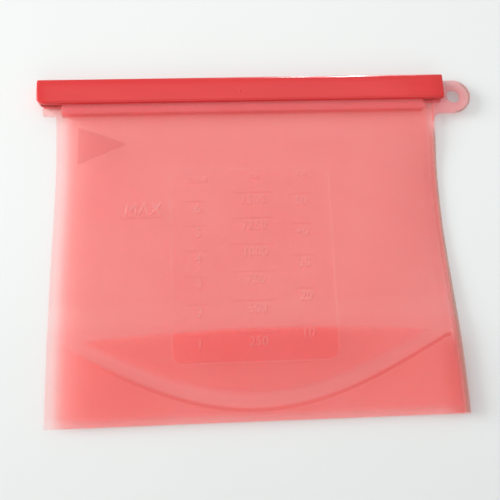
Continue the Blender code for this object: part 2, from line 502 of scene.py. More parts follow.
def table_paint():
    """Matte off-white table, with painted shade that makes it a little darker towards the viewer, where the
    light falls off.
    """
    material, nodes = new_material("table_paint")
    body = nodes["Principled BSDF"]
    body.inputs["Roughness"].default_value = 0.7
    body.inputs["Specular IOR Level"].default_value = 0.2
    place = nodes.new("ShaderNodeTexCoord")
    cloud = add_noise(nodes, 9.0, 2.0)
    shade = add_colours(nodes, (0.765, 0.775, 0.765), (0.785, 0.795, 0.785))
    split = nodes.new("ShaderNodeSeparateXYZ")
    # Painted shade: the table gets darker towards the viewer, standing in for the light falling off
    falloff_shade_ramp = add_range(nodes, (-0.26, 0.06), (0.86, 1.0))
    falloff_shade_ramp.interpolation_type = "SMOOTHSTEP"
    painted_falloff_shade = add_colours(nodes, (0.0, 0.0, 0.0), (1.0, 1.0, 1.0))
    connect(place, "Object", cloud, "Vector")
    connect(place, "Object", split, "Vector")
    connect(cloud, "Fac", shade, "Factor")
    connect(split, "Y", falloff_shade_ramp, "Value")
    connect(falloff_shade_ramp, "Result", painted_falloff_shade, "Factor")
    connect(shade, "Result", painted_falloff_shade, "B")
    connect(painted_falloff_shade, "Result", body, "Base Color")
    return material


# Each silicone: the colour it reflects, the tint of what shows through it, and its opacity
PINK = (0.995, 0.25, 0.243)
SHEET = silicone("bag_silicone", PINK, (1.0, 0.957, 0.953), 0.20)
LEAF_SHEET = silicone("gusset_silicone", (0.995, 0.265, 0.258), (1.0, 0.968, 0.963), 0.11)
THICK = silicone("thick_silicone", (0.995, 0.235, 0.25), (1.0, 0.95, 0.95), 0.27)
# Dark film: painted shade at the right seam, under the collar and beside the numerals, and the darker line
# of the curved seam's bead
BEAD_AND_SHADE_FILM = silicone("bead_and_painted_shade_silicone", (0.45, 0.10, 0.10), (0.985, 0.89, 0.88), 0.03)
# Olive film: painted shade along the right seam's edge and the hang tab's edge
EDGE_SHADE = silicone("painted_edge_shade_silicone", (0.34, 0.32, 0.26), (0.76, 0.93, 0.88), 0.24)
FILM = silicone("relief_silicone", PINK, (1.0, 0.975, 0.975), 0.03)
ARROW_FILM = silicone("arrow_silicone", (0.9, 0.2, 0.2), (0.965, 0.925, 0.925), 0.04)
# Pale film: painted highlight on the raised numerals and the panel's rim
GLINT = silicone("glint_silicone", (1.0, 0.80, 0.78), (1.0, 1.0, 1.0), 0.18)
BAR_PLASTIC = bar_plastic()


# ------------------------------ the bag


def body_rows():
    """y of the sleeve's rows from the bottom hem to the lips' ends, closer where the shape turns."""
    rows = [0.0, LIP_ROUNDING, 1.0]
    rows += list(np.arange(3.0, 148.0, 2.5))
    rows += list(np.arange(149.0, MOUTH_Y - 1.0, 1.5))
    rows += [MOUTH_Y - 0.8, MOUTH_Y - 0.35, MOUTH_Y - 0.15, MOUTH_Y + 0.6]
    rows += list(np.arange(MOUTH_Y + 2.0, BEAD_Y - 2.0, 1.5))
    rows += list(np.arange(BEAD_Y - 1.6, BEAD_Y + 1.7, 0.4))
    rows += [LIP_TOP - 1.2, LIP_TOP - LIP_ROUNDING, LIP_TOP]
    return rows


def mottle(x, y):
    """Faint uneven tone: the walls cling to each other in patches, and the sleeve is lighter in a band just
    above the base's fold.
    """
    broad = np.sin(x / 15.0 + 0.7) * np.sin(y / 21.0 + 1.9)
    fine = np.sin(x / 6.3 + y / 9.7) * np.sin(y / 7.1 - x / 13.0 + 0.4)
    fold_band = smooth((64.0 - y) / 2.0) * smooth((y - 50.0) / 4.0)
    return 1.0 + 0.07 * broad + 0.035 * fine - 0.1 * fold_band


def sleeve_depth(points, cavity_start):
    """Silicone each point of the sleeve stands for, with painted light and shade in it.

    The outer skin fades towards the left seam, painted light where light from the left gets in under that
    edge, and is denser at the right one, painted shade. The cavity's skin, whose points start at
    cavity_start, fades out at both, and at the left its longer fade is painted light too.
    """
    x, y = points[:, 0], points[:, 1]
    from_left = x - cavity_left(y)
    from_right = cavity_right(y) - x
    # Painted light towards the left seam, painted shade at the right one
    outer = mix(0.7, 1.0, smooth(from_left / 8.0)) + 0.3 * smooth(1.0 - from_right / 7.0)
    outer += 0.9 * smooth((0.5 - from_right) / 1.5) * smooth((from_right + 2.2) / 2.2)
    outer *= mottle(x, y)
    inner = smooth((from_left + 1.0) / 10.0) * smooth(from_right / 2.5)
    depth_and_painted_light = np.where(np.arange(len(points)) < cavity_start, outer, inner)
    depth_and_painted_light *= mix(0.75, 1.0, smooth((y - 2.0) / 4.0))
    return np.where(y < MOUTH_Y, depth_and_painted_light, 1.0)


def seam_edge(inner_x, edge_x, y, top, bottom):
    """A side seam's rounded outer edge at one y, from its front face round to its back face."""
    turn = np.linspace(math.pi / 2, -math.pi / 2, SEAM_STEPS)
    around, across = np.cos(turn), np.sin(turn)
    side = 1.0 if edge_x > inner_x else -1.0
    flat = max(abs(edge_x - inner_x) - SEAM_ROUNDING, 0.0)
    x = inner_x + side * (flat + SEAM_ROUNDING * around)
    z = (top + bottom) / 2 + (top - bottom) / 2 * np.sign(across) * np.abs(across) ** 0.8
    return np.stack((x, np.full(SEAM_STEPS, y), z), 1)


def sleeve_rings(y, t):
    """Points of the sleeve at one y: the ring around its outside and the ring around its cavity."""
    left_in, right_in = float(cavity_left(y)), float(cavity_right(y))
    x = mix(left_in, right_in, t)
    yy = np.full(len(t), y)
    shrink = END_SHRINK * (1.0 - smooth(y / LIP_ROUNDING))
    shrink += END_SHRINK * smooth((y - LIP_TOP + LIP_ROUNDING) / LIP_ROUNDING)
    front = front_z(x, yy) - shrink
    back = back_z(x, yy) + shrink
    centre, reach = middle(x, yy), inner_half(x, yy)
    right = seam_edge(right_in, float(right_edge(y)), y, front[-1], back[-1])
    left = seam_edge(left_in, float(left_edge(y)), y, front[0], back[0])[::-1]
    lines = [np.stack((x, yy, z), 1) for z in (front, back, centre + reach, centre - reach)]
    outer = np.concatenate((lines[0], right, lines[1][::-1], left))
    return outer, np.concatenate((lines[2], lines[3][::-1]))


def sleeve_end_faces(outer, inner, columns):
    """Faces between the outer ring and the cavity's ring, given each ring's first point."""
    back_outer, back_inner = outer + columns + SEAM_STEPS, inner + columns
    faces = []
    for c in range(columns - 1):
        faces.append((outer + c, outer + c + 1, inner + c + 1, inner + c))
        faces.append((back_outer + c, back_outer + c + 1, back_inner + c + 1, back_inner + c))
    right_seam = list(range(outer + columns - 1, back_outer + 1))
    faces.append(tuple(right_seam + [back_inner, inner + columns - 1]))
    left_seam = list(range(back_outer + columns - 1, outer + 2 * (columns + SEAM_STEPS))) + [outer]
    faces.append(tuple(left_seam + [inner, inner + 2 * columns - 1]))
    return faces


def front_layer(local):
    """The layer share of the sleeve: all for its front half, none for its back half."""
    above = local[:, 2] > middle(local[:, 0], local[:, 1])
    return above.astype(float)


def make_sleeve():
    """Walls, side seams, shoulders and lips as one closed skin: rings swept in y."""
    columns = 110
    t = np.linspace(0.0, 1.0, columns)
    rings = [sleeve_rings(y, t) for y in body_rows()]
    outer = np.array([ring[0] for ring in rings])
    inner = np.array([ring[1] for ring in rings])
    rows, around_outer = outer.shape[:2]
    around_inner = inner.shape[1]
    start = rows * around_outer
    points = np.concatenate((outer.reshape(-1, 3), inner.reshape(-1, 3)))
    faces = grid_faces(rows, around_outer, wrap=True)
    faces += [tuple(reversed(face)) for face in grid_faces(rows, around_inner, start, wrap=True)]
    for row in (0, rows - 1):
        faces += sleeve_end_faces(row * around_outer, start + row * around_inner, columns)
    sleeve = make_piece("bag_sleeve", points, faces, SHEET)
    set_depth(sleeve, sleeve_depth(points, start))
    follow_opening(sleeve, front_layer)
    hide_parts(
        "front_wall", "back_wall", "front_shoulder", "back_shoulder", "front_lip", "back_lip",
        "left_side_seam", "right_side_seam",
    )


def fold_y(x):
    """y of the fold at the gusset's top, highest a little right of the bag's middle."""
    return FOLD_Y - FOLD_END_DROP + FOLD_BOW * (1.0 - ((x - 8.0) / ARC_HALF_WIDTH) ** 2)


def fold_half(x, y):
    """Half the gap that the fold holds open between the gusset's leaves."""
    return mix(FOLD_HALF_AT_SEAM, FOLD_HALF, swell(x, y))


def leaf_thickness(x, y):
    """Thickness of one leaf of the gusset: thinner towards the side seams."""
    return mix(LEAF_AT_SEAM, LEAF, smooth(swell(x, y) * 1.6))


def arc_y(x):
    """The curved seam where the base is welded to the walls: low in the middle, high at the sides."""
    u = np.clip(np.abs(x - CENTRE_X) / ARC_HALF_WIDTH, 0.0, 1.0)
    return ARC_FOOT + ARC_RISE * (1.0 - np.cos(u * math.pi / 2))


def gusset_offset(x, y):
    """How far a gusset leaf's middle lies from the bag's middle plane: on the wall below the curved seam."""
    wall_side = inner_half(x, y) - leaf_thickness(x, y) / 2 - EMBED
    free = smooth((y - arc_y(x)) / np.maximum(fold_y(x) - 4.0 - arc_y(x), 2.0))
    return mix(wall_side, np.minimum(fold_half(x, y), wall_side), free)


def gusset_face(outward, x, path):
    """One face of the gusset's sheet, along its path from the back hem up, over the fold and down.

    path is 0 at the back hem and 1 at the front hem, and outward picks the face: 1 or -1.
    """
    reach = fold_half(x, fold_y(x))
    turn = np.clip((path - 0.5) / (FOLD_END - FOLD_START), -0.5, 0.5) * math.pi
    climb = np.minimum(np.minimum(path, 1.0 - path) / FOLD_START, 1.0)
    y = LEAF_FOOT + (fold_y(x) - reach - LEAF_FOOT) * climb + reach * np.cos(turn)
    in_fold = (path >= FOLD_START) & (path <= FOLD_END)
    offset = np.sin(turn) * np.where(in_fold, reach, gusset_offset(x, y))
    skin = leaf_thickness(x, y) / 2 * outward
    return np.stack((x, y - skin * np.cos(turn), middle(x, y) + offset - skin * np.sin(turn)), -1)


def base_depth(points):
    """Silicone of the base's sheet, with painted light: nearly clear in the band above the curved seam, a
    painted highlight where the weld's ridge catches the light, and fading towards the left seam, painted
    light from the left.
    """
    x, y = points[:, 0], points[:, 1]
    above = y - arc_y(x)
    # Painted highlight: the band above the curved seam is made nearly clear
    band = smooth((above + 0.6) / 1.4) * smooth((BAND_WIDTH + 2.0 - above) / 4.0)
    depth_and_painted_light = mix(1.15, 0.74, smooth((x + 90.0) / 60.0)) * (1.0 - 0.97 * band)
    depth_and_painted_light *= mix(0.3, 1.0, smooth((y - 2.5) / 3.0))
    return depth_and_painted_light * smooth((x - cavity_left(y)) / 24.0) * smooth((cavity_right(y) - x) / 2.5)


def gusset_side(local):
    """The share of the front's rise that a gusset point takes: 0 at the back hem, 1 at the front hem."""
    x, y, z = local[:, 0], local[:, 1], local[:, 2]
    side = np.sign(z - middle(x, y))
    return 0.5 + 0.5 * side * (1.0 - smooth((y - 3.0) / (FOLD_Y - 1.0)))


def make_gusset():
    """The base: one sheet that runs up from the back hem, folds over and comes down to the front hem."""
    rising = np.linspace(0.0, FOLD_START, 44)
    folding = np.linspace(FOLD_START, FOLD_END, 9)[1:-1]
    falling = np.linspace(FOLD_END, 1.0, 44)
    t, path = np.meshgrid(np.linspace(0.0, 1.0, 150), np.concatenate((rising, folding, falling)))
    rough_y = (FOLD_Y + 1.0) * (1.0 - np.abs(2.0 * path - 1.0))
    x = mix(cavity_left(rough_y) + 0.02, cavity_right(rough_y) - 0.02, t)
    points, faces = slab(gusset_face(1.0, x, path), gusset_face(-1.0, x, path))
    gusset = make_piece("base_gusset", points, faces, LEAF_SHEET)
    set_depth(gusset, base_depth(points))
    follow_opening(gusset, gusset_side)
    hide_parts("gusset_back_leaf", "gusset_front_leaf", "front_hem", "back_hem")


def gusset_pad(name, x, y, side, thickness, material):
    """A thin slab on the outside of one gusset leaf, over a grid of x and y."""
    offset = gusset_offset(x, y) - leaf_thickness(x, y) / 2 - 0.02
    mid = middle(x, y)
    outer = np.stack((x, y, mid + side * offset), -1)
    inner = np.stack((x, y, mid + side * (offset - thickness)), -1)
    points, faces = slab(outer, inner)
    pad = make_piece(name, points, faces, material)
    follow_opening(pad, gusset_side)
    return pad


def make_platforms():
    """The oval the bag stands on: a thicker patch of the base, folded in half."""
    centre_x, centre_y = PLATFORM_CENTRE
    half_x, half_y = PLATFORM_SIZE
    quarter = 0.985 * math.pi / 2
    turn = np.linspace(-quarter, quarter, 64)
    x = centre_x + half_x * np.sin(turn)
    top = fold_y(x) - 1.7
    bottom = np.minimum(centre_y - half_y * np.cos(turn), top - 0.4)
    xx, up = np.meshgrid(x, np.linspace(0.0, 1.0, 20))
    yy = mix(bottom, top, up)
    for name, side in (("platform_back", -1.0), ("platform_front", 1.0)):
        pad = gusset_pad(name, xx, yy, side, 0.35, FILM)
        set_depth(pad, 0.3)


def make_gusset_edges():
    """Painted shade along the right side seam, where the base's folded leaves are fused into it: a dark film
    on both leaves.
    """
    reach, top = 11.0, FOLD_Y - 3.0
    inset, y = np.meshgrid((reach, 8.0, 5.5, 3.5, 1.8, 0.3), np.linspace(0.5, top, 40))
    x = cavity_right(y) - inset
    depth_and_painted_light = 1.5 * (1.0 - inset / reach) ** 1.5 * smooth((top - y) / 10.0)
    for name, side in (("gusset_edge_back", -1.0), ("gusset_edge_front", 1.0)):
        edge = gusset_pad(name, x, y, side, 0.2, BEAD_AND_SHADE_FILM)
        set_depth(edge, depth_and_painted_light)


def make_rib(name, side):
    """Narrow rib along the foot of the collar, in front for side 1 and behind for side -1, in the dark film:
    painted shade for the dark line under the collar.
    """
    across = (-1.0, -0.8, -0.3, 0.3, 0.8, 1.0)
    rise = np.array((-EMBED, 0.3, 0.45, 0.45, 0.3, -EMBED))[:, None]
    x, step = np.meshgrid(np.linspace(COLLAR_LOW.x + 0.4, COLLAR_HIGH.x - 0.4, 96), across)
    y = MOUTH_Y - 0.75 + RIB_WIDTH / 2 * step
    surface = front_z(x, y) if side > 0 else back_z(x, y)
    outer = np.stack((x, y, surface + side * rise), -1)
    inner = np.stack((x, y, surface - side * 0.05), -1)
    points, faces = slab(outer, inner)
    rib = make_piece(name, points, faces, BEAD_AND_SHADE_FILM)
    if side > 0:
        follow_opening(rib, all_of_it)
    else:
        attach(rib, "bag_back")


def make_seam_beads():
    """The bead along the curved seam, on both leaves, fading out at the left; its dark line is partly the
    bead's own silicone and partly painted shade.
    """
    inset = SEAM_WIDTH + 1.0
    t, up = np.meshgrid(np.linspace(0.0, 1.0, 90), np.linspace(0.0, 1.0, 5))
    x = mix(LEFT + inset, RIGHT - inset, t)
    y = arc_y(x) + mix(-2.0, -0.2, up)
    strength = smooth((x - LEFT - 8.0) / 45.0) + 0.8 * smooth((x - 20.0) / 60.0)
    for name, side in (("seam_bead_back", -1.0), ("seam_bead_front", 1.0)):
        bead = gusset_pad(name, x, y, side, 0.30, BEAD_AND_SHADE_FILM)
        set_depth(bead, strength)


def make_collar(name, side):
    """The thick band outside the mouth that the bar bears on, in front for side 1 and behind for side -1."""
    base = MOUTH_HALF - EMBED
    proud = COLLAR_HIGH.z - COLLAR_LOW.z
    top = BAR_LOW.y - 0.06
    profile = (
        (COLLAR_LOW.y, 0.0),
        (COLLAR_LOW.y + 0.05, proud - 0.35),
        (COLLAR_LOW.y + 0.35, proud),
        (top - 0.1, proud),
        (top, proud - 0.1),
        (top, 0.0),
    )
    radius = 2.4
    end_steps = np.array((0.0, 0.1, 0.35, 0.8, 1.5, radius))
    straight = np.linspace(COLLAR_LOW.x + 5.0, COLLAR_HIGH.x - 5.0, 90)
    x = np.concatenate((COLLAR_LOW.x + end_steps, straight, COLLAR_HIGH.x - end_steps[::-1]))
    from_end = np.minimum(x - COLLAR_LOW.x, COLLAR_HIGH.x - x)
    corner = radius - np.sqrt(np.clip(radius**2 - np.clip(radius - from_end, 0.0, None) ** 2, 0.0, None))
    full = mix(0.5, 1.0, np.clip(from_end / 0.35, 0.0, 1.0) ** 0.5)
    rows = []
    for index, (y, height) in enumerate(profile):
        pull = corner if index >= 3 else 0.0
        z = MID_Z + side * (base + height * full)
        rows.append(np.stack((x, np.full(len(x), y) - pull, z), -1))
    outer = np.array(rows)
    inner = outer.copy()
    inner[:, :, 2] = MID_Z + side * (base - 0.01)
    inner[0, :, 1] -= 0.01
    inner[-1, :, 1] += 0.01
    points, faces = slab(outer, inner)
    band = make_piece(name, points, faces, THICK)
    if side > 0:
        follow_opening(band, all_of_it)
        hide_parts("front_collar")
    else:
        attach(band, "bag_back")
        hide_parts("back_collar")


def arc_points(centre, radius, start, end, steps):
    """Points along an arc, from one angle to another in degrees."""
    turn = np.radians(np.linspace(start, end, steps))
    return [(centre[0] + radius * math.cos(a), centre[1] + radius * math.sin(a)) for a in turn]


def bend_tab(piece):
    """Bakes the piece's place into its points; nothing makes it bend with the tab."""
    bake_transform(piece)


def tab_plate(root, thickness):
    """The tab's flat shape with its hole, as a plate with square edges."""
    foot = TAB_LOW.y - NECK_FILLET
    outline = [(root, TAB_HIGH.y), (root, foot)]
    outline += arc_points((root + NECK_FILLET, foot), NECK_FILLET, 172.0, 90.0, 9)
    outline += arc_points(TAB_CENTRE, TAB_RADIUS, -90.0, 90.0, 33)
    hole = arc_points(TAB_CENTRE, TAB_HOLE, 0.0, 360.0, 41)[:-1]
    plate = bmesh.new()
    edges = []
    for loop in (outline, hole):
        corners = [plate.verts.new((x, y, -thickness / 2)) for x, y in loop]
        for a, b in zip(corners, corners[1:] + corners[:1]):
            edges.append(plate.edges.new((a, b)))
    bmesh.ops.triangle_fill(plate, edges=edges, use_beauty=True, use_dissolve=False)
    bmesh.ops.dissolve_limit(plate, angle_limit=0.01, verts=plate.verts, edges=plate.edges)
    grown = bmesh.ops.extrude_face_region(plate, geom=list(plate.faces), use_keep_orig=True)
    fold_band = [g for g in grown["geom"] if isinstance(g, bmesh.types.BMVert)]
    bmesh.ops.translate(plate, verts=fold_band, vec=(0.0, 0.0, thickness))
    bmesh.ops.recalc_face_normals(plate, faces=plate.faces)
    return plate


def round_tab(plate, root):
    """Rounds the plate's outer and hole edges, but not those that lie against the bag."""
    rims = []
    for edge in plate.edges:
        flat = abs(edge.verts[0].co.z - edge.verts[1].co.z) < 1e-6
        at_root = all(abs(v.co.x - root) < 1e-6 for v in edge.verts)
        if flat and not at_root and len(edge.link_faces) == 2 and edge.calc_face_angle(0.0) > 1.0:
            rims.append(edge)
    bmesh.ops.bevel(plate, geom=rims, offset=TAB_ROUNDING, segments=4, profile=0.5, affect="EDGES")


def in_order(plate):
    """The plate's points and faces, ordered by their places alone, as bevelling leaves them in any order."""
    points = {vert: tuple(round(value, 6) for value in vert.co) for vert in plate.verts}
    verts = sorted(plate.verts, key=points.get)
    index = {vert: i for i, vert in enumerate(verts)}
    faces = []
    for face in plate.faces:
        corners = [index[vert] for vert in face.verts]
        first = corners.index(min(corners))
        faces.append(tuple(corners[first:] + corners[:first]))
    return [tuple(vert.co) for vert in verts], sorted(faces)


def cut_into_strips(points, faces, root):
    """Cuts the plate across every millimetre, so that it can bend."""
    plate = bmesh.new()
    verts = [plate.verts.new(point) for point in points]
    for face in faces:
        plate.faces.new([verts[i] for i in face])
    for x in np.arange(root + 1.0, TAB_HIGH.x - 1.0, 1.0):
        geometry = list(plate.verts) + list(plate.edges) + list(plate.faces)
        bmesh.ops.bisect_plane(plate, geom=geometry, plane_co=(x, 0, 0), plane_no=(1, 0, 0))
    bmesh.ops.triangulate(plate, faces=[face for face in plate.faces if len(face.verts) > 4])
    return plate


def make_tab():
    """Neck and hang tab: a flat loop with rounded edges and a hole."""
    root = TAB_ROOT + 0.02
    plate = tab_plate(root, TAB_HIGH.z - TAB_LOW.z)
    round_tab(plate, root)
    strips = cut_into_strips(*in_order(plate), root)
    points, faces = in_order(strips)
    plate.free()
    strips.free()
    tab = make_piece("hang_tab_loop", np.array(points) + (0.0, 0.0, MID_Z), faces, THICK)
    bend_tab(tab)
    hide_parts("hang_tab", "tab_neck")


def make_edge_core(name, points, outward, insets, depths, along, z, half_height, material):
    """Painted shade: a thin dark slab just inside an outline, which shows through the silicone, so that its
    edge looks thick and dark.

    points and outward run along the outline, with one z and one strength in along for each. The slab has a
    row of points for each inset, with its own depth.
    """
    x = np.array([points[:, 0] - inset * outward[:, 0] for inset in insets])
    y = np.array([points[:, 1] - inset * outward[:, 1] for inset in insets])
    height = np.array((0.3, 0.9, 1.0, 0.8))[:, None] * half_height
    top = np.stack((x, y, z + height), -1)
    bottom = np.stack((x, y, z - height), -1)
    corners, faces = slab(top, bottom)
    core = make_piece(name, corners, faces, material)
    set_depth(core, np.outer(depths, along))
    core.visible_shadow = False
    return core


def make_seam_cores():
    """Painted shade on the right seam: the dark line of its edge, and the shade over the seam's whole width.
    """
    top = 164.0
    y = np.linspace(0.6, top, 120)
    edge = np.stack((right_edge(y), y), 1)
    outward = np.tile((1.0, 0.0), (len(y), 1))
    inner = cavity_right(y)
    z = (front_z(inner, y) + back_z(inner, y)) / 2
    along = smooth((top - y) / 9.0)
    width = mix(2.4, 1.3, smooth((y - 40.0) / 60.0))
    insets = (width, width * 0.6, width * 0.25, EDGE_SHADE_INSET)
    core = make_edge_core(
        "right_seam_edge_shade", edge, outward, insets, EDGE_SHADE_DEPTHS, along, z, 0.45, EDGE_SHADE
    )
    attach(core, "bag_back")

    shade = along * mix(1.0, 0.6, smooth((y - FOLD_Y) / 8.0))
    insets = (SEAM_WIDTH + 0.4, SEAM_WIDTH - 0.4, 2.2, 0.9)
    depths = (1.6, 2.2, 2.2, 1.4)
    core = make_edge_core("right_seam_shade", edge, outward, insets, depths, shade, z, 0.6, BEAD_AND_SHADE_FILM)
    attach(core, "bag_back")


def make_tab_core():
    """Painted shade: the dark line of the hang tab's edge, fading out towards the bag."""
    turn = np.radians(np.linspace(-100.0, 75.0, 44))
    outward = np.stack((np.cos(turn), np.sin(turn)), 1)
    rim = np.array(TAB_CENTRE) + TAB_RADIUS * outward
    level = np.full(len(turn), MID_Z)
    step = np.arange(len(turn))
    along = smooth(np.minimum(step, step[::-1]) / 8.0)
    insets = (1.4, 0.9, 0.3, EDGE_SHADE_INSET)
    core = make_edge_core(
        "tab_edge_shade", rim, outward, insets, EDGE_SHADE_DEPTHS, along, level, 0.5, EDGE_SHADE
    )
    bend_tab(core)


# ------------------------------ scale


def raised(x, y, thickness):
    """Points and faces of a thin slab on the front wall, over a grid of x and y."""
    z = front_z(x, y)
    return slab(np.stack((x, y, z + thickness), -1), np.stack((x, y, z - EMBED), -1))


def joined(solids):
    """Points and faces of several solids as one."""
    points, faces, start = [], [], 0
    for more, polygons in solids:
        points.append(more)
        faces += [tuple(start + i for i in polygon) for polygon in polygons]
        start += len(more)
    return np.concatenate(points), faces


def make_relief(name, points, faces, material, depth_and_painted_light=1.0):
    """A piece that stands on the front wall."""
    relief = make_piece(name, points, faces, material)
    set_depth(relief, depth_and_painted_light)
    follow_opening(relief, all_of_it)


def rounded_outline(box, radius):
    """Points and outward directions around a rounded rectangle, closed on itself."""
    low_x, high_x, low_y, high_y = box
    corners = [
        (high_x - radius, high_y - radius, 0.0),
        (low_x + radius, high_y - radius, 90.0),
        (low_x + radius, low_y + radius, 180.0),
        (high_x - radius, low_y + radius, 270.0),
    ]
    points, outward = [], []
    for (x, y, start), (next_x, next_y, _) in zip(corners, corners[1:] + corners[:1]):
        for angle in np.radians(start + np.linspace(0.0, 90.0, 9)):
            direction = np.array((math.cos(angle), math.sin(angle)))
            points.append(np.array((x, y)) + radius * direction)
            outward.append(direction)
        for share in np.linspace(0.0, 1.0, 30)[1:-1]:
            along = np.array((x, y)) + (np.array((next_x, next_y)) - np.array((x, y))) * share
            points.append(along + radius * direction)
            outward.append(direction)
    points.append(points[0])
    outward.append(outward[0])
    return np.array(points), np.array(outward)


def make_panel():
    """The faint raised field that the scale stands on, darker where it presses on the base, and its rim,
    whose pale film is a painted highlight.
    """
    low_x, high_x, low_y, high_y = PANEL
    quarter = np.linspace(0.0, math.pi / 2, 8)
    ends = PANEL_CORNER * (1.0 - np.cos(quarter))
    between = np.arange(low_y + PANEL_CORNER + 1.0, high_y - PANEL_CORNER, 1.25)
    rows = np.concatenate((low_y + ends, between, high_y - ends[::-1]))
    short = np.clip(PANEL_CORNER - np.minimum(rows - low_y, high_y - rows), 0.0, None)
    pull = PANEL_CORNER - np.sqrt(np.clip(PANEL_CORNER**2 - short**2, 0.0, None))
    t, y = np.meshgrid(np.linspace(0.0, 1.0, 60), rows)
    x = mix((low_x + pull)[:, None], (high_x - pull)[:, None], t)
    depth_and_painted_light = smooth((fold_y(x) - y) / 1.5) * 3.2 + 0.05
    make_relief("scale_panel", *raised(x, y, 0.22), FILM, depth_and_painted_light)

    points, outward = rounded_outline(PANEL, PANEL_CORNER)
    across = (-0.35, 0.0, 0.35)
    x = np.array([points[:, 0] + step * outward[:, 0] for step in across])
    y = np.array([points[:, 1] + step * outward[:, 1] for step in across])
    # Painted highlight along the rim
    make_relief("scale_rim", *raised(x, y, 0.25), GLINT, 0.2)


def make_arrow():
    """Raised triangle that shows which way the bar goes on."""
    left, tip, low, high = ARROW
    x, across = np.meshgrid(np.linspace(left, tip - 0.4, 22), np.linspace(-1.0, 1.0, 10))
    y = (low + high) / 2 + across * (1.0 - (x - left) / (tip - left)) * (high - low) / 2
    make_relief("slide_arrow", *raised(x, y, 0.5), ARROW_FILM)


def volume_y(millilitres):
    """y of the mark for a volume: the marks lie a little closer together towards the top."""
    share = (millilitres - SCALE_FIRST) / (SCALE_LAST - SCALE_FIRST)
    return SCALE_FOOT + SCALE_HEIGHT * np.sign(share) * abs(share) ** 0.93


def stroke(x_low, x_high, y, width):
    """Grid of x and y over a short horizontal mark."""
    x, across = np.meshgrid(np.linspace(x_low, x_high, 7), (-0.5, 0.0, 0.5))
    return x, y + width * across


def make_marks():
    """Tick marks of the three columns: cups, millilitres and ounces, and the line of the fill mark."""
    marks = []
    for steps, unit, (x_low, x_high), _, _ in SCALE_COLUMNS:
        for step in steps:
            marks.append(stroke(x_low, x_high, volume_y(step * unit) + TICK_RISE, TICK_WIDTH))
    marks.append(stroke(-69.5, -46.5, 110.3, 0.8))
    points, faces = joined([raised(x, y, RELIEF) for x, y in marks])
    make_relief("scale_marks", points, faces, ARROW_FILM, 0.5)


def text_mesh(text, size):
    """Vertices and faces of a raised text, centred on its own width, in millimetres."""
    curve = bpy.data.curves.new("text", "FONT")
    curve.body = text
    curve.size = size
    curve.align_x = "CENTER"
    curve.extrude = 0.5
    curve.shear = 0.1
    curve.resolution_u = 3
    holder = add_object("text", curve)
    bpy.context.view_layer.update()
    mesh = bpy.data.meshes.new_from_object(holder.evaluated_get(bpy.context.evaluated_depsgraph_get()))
    points = np.array([v.co for v in mesh.vertices])
    faces = [tuple(p.vertices) for p in mesh.polygons]
    bpy.data.objects.remove(holder)
    bpy.data.curves.remove(curve)
    bpy.data.meshes.remove(mesh)
    return points, faces


def make_numerals():
    """Numbers and unit names of the scale, raised on the front wall in the pale film, a painted highlight,
    each with a painted shadow beside it: a dark copy set off a little to the right and down.
    """
    labels = list(WORDS)
    for steps, unit, _, x, size in SCALE_COLUMNS:
        labels += [(str(step), x, volume_y(step * unit) - NUMBER_DROP, size) for step in steps]
    solids = []
    for text, x, y, size in labels:
        glyphs, polygons = text_mesh(text, size)
        place_x, place_y = x + glyphs[:, 0], y + glyphs[:, 1]
        lift = np.where(glyphs[:, 2] > 0.0, RELIEF + 0.1, -EMBED)
        solids.append((np.stack((place_x, place_y, front_z(place_x, place_y) + lift), -1), polygons))
    points, faces = joined(solids)
    make_relief("scale_numerals", points, faces, GLINT, 0.55)
    # Painted shadow: a dark copy of the numerals, offset beside them
    make_relief("numeral_painted_shadows", points + np.array((0.35, -0.35, -0.15)), faces, BEAD_AND_SHADE_FILM, 0.85)


# ------------------------------ slide bar


def bar_section(inset, low_y):
    """Outline of the bar in y and z: well rounded at the top, eased towards the mouth."""
    top, bottom = BAR_HIGH.y - inset - BAR_CROWN, low_y + inset + BAR_EASE
    low, high = BAR_LOW.z + inset, BAR_HIGH.z - inset
    outline = arc_points((top, high - BAR_CROWN), BAR_CROWN, 90.0, 0.0, 7)
    outline += arc_points((top, low + BAR_CROWN), BAR_CROWN, 0.0, -90.0, 7)
    outline += arc_points((bottom, low + BAR_EASE), BAR_EASE, -90.0, -180.0, 7)
    outline += arc_points((bottom, high - BAR_EASE), BAR_EASE, 180.0, 90.0, 7)
    return outline


def channel_section(grow):
    """Outline of the bar's channel: a chamber for the lips and a slot down to the mouth."""
    outside = BAR_LOW.y - 1.0
    near, far = BAR_LOW.y + BAR_WALL - grow, BAR_HIGH.y - BAR_WALL + grow
    low, high = BAR_LOW.z + BAR_WALL - grow, BAR_HIGH.z - BAR_WALL + grow
    slot_low, slot_high = MID_Z - BAR_SLOT / 2 - grow, MID_Z + BAR_SLOT / 2 + grow
    outline = [(far, low), (far, high), (near, high), (near, slot_high), (outside, slot_high)]
    outline += [(outside, slot_low), (near, slot_low), (near, low)]
    return outline


def loft(name, sections):
    """Closed solid through outlines of (y, z) at rising x."""
    count = len(sections[0][1])
    points = [(x, y, z) for x, outline in sections for y, z in outline]
    faces = grid_faces(len(sections), count, wrap=True)
    faces.append(tuple(range(count)))
    faces.append(tuple(range(len(points) - 1, len(points) - 1 - count, -1)))
    return make_piece(name, points, faces, BAR_PLASTIC)


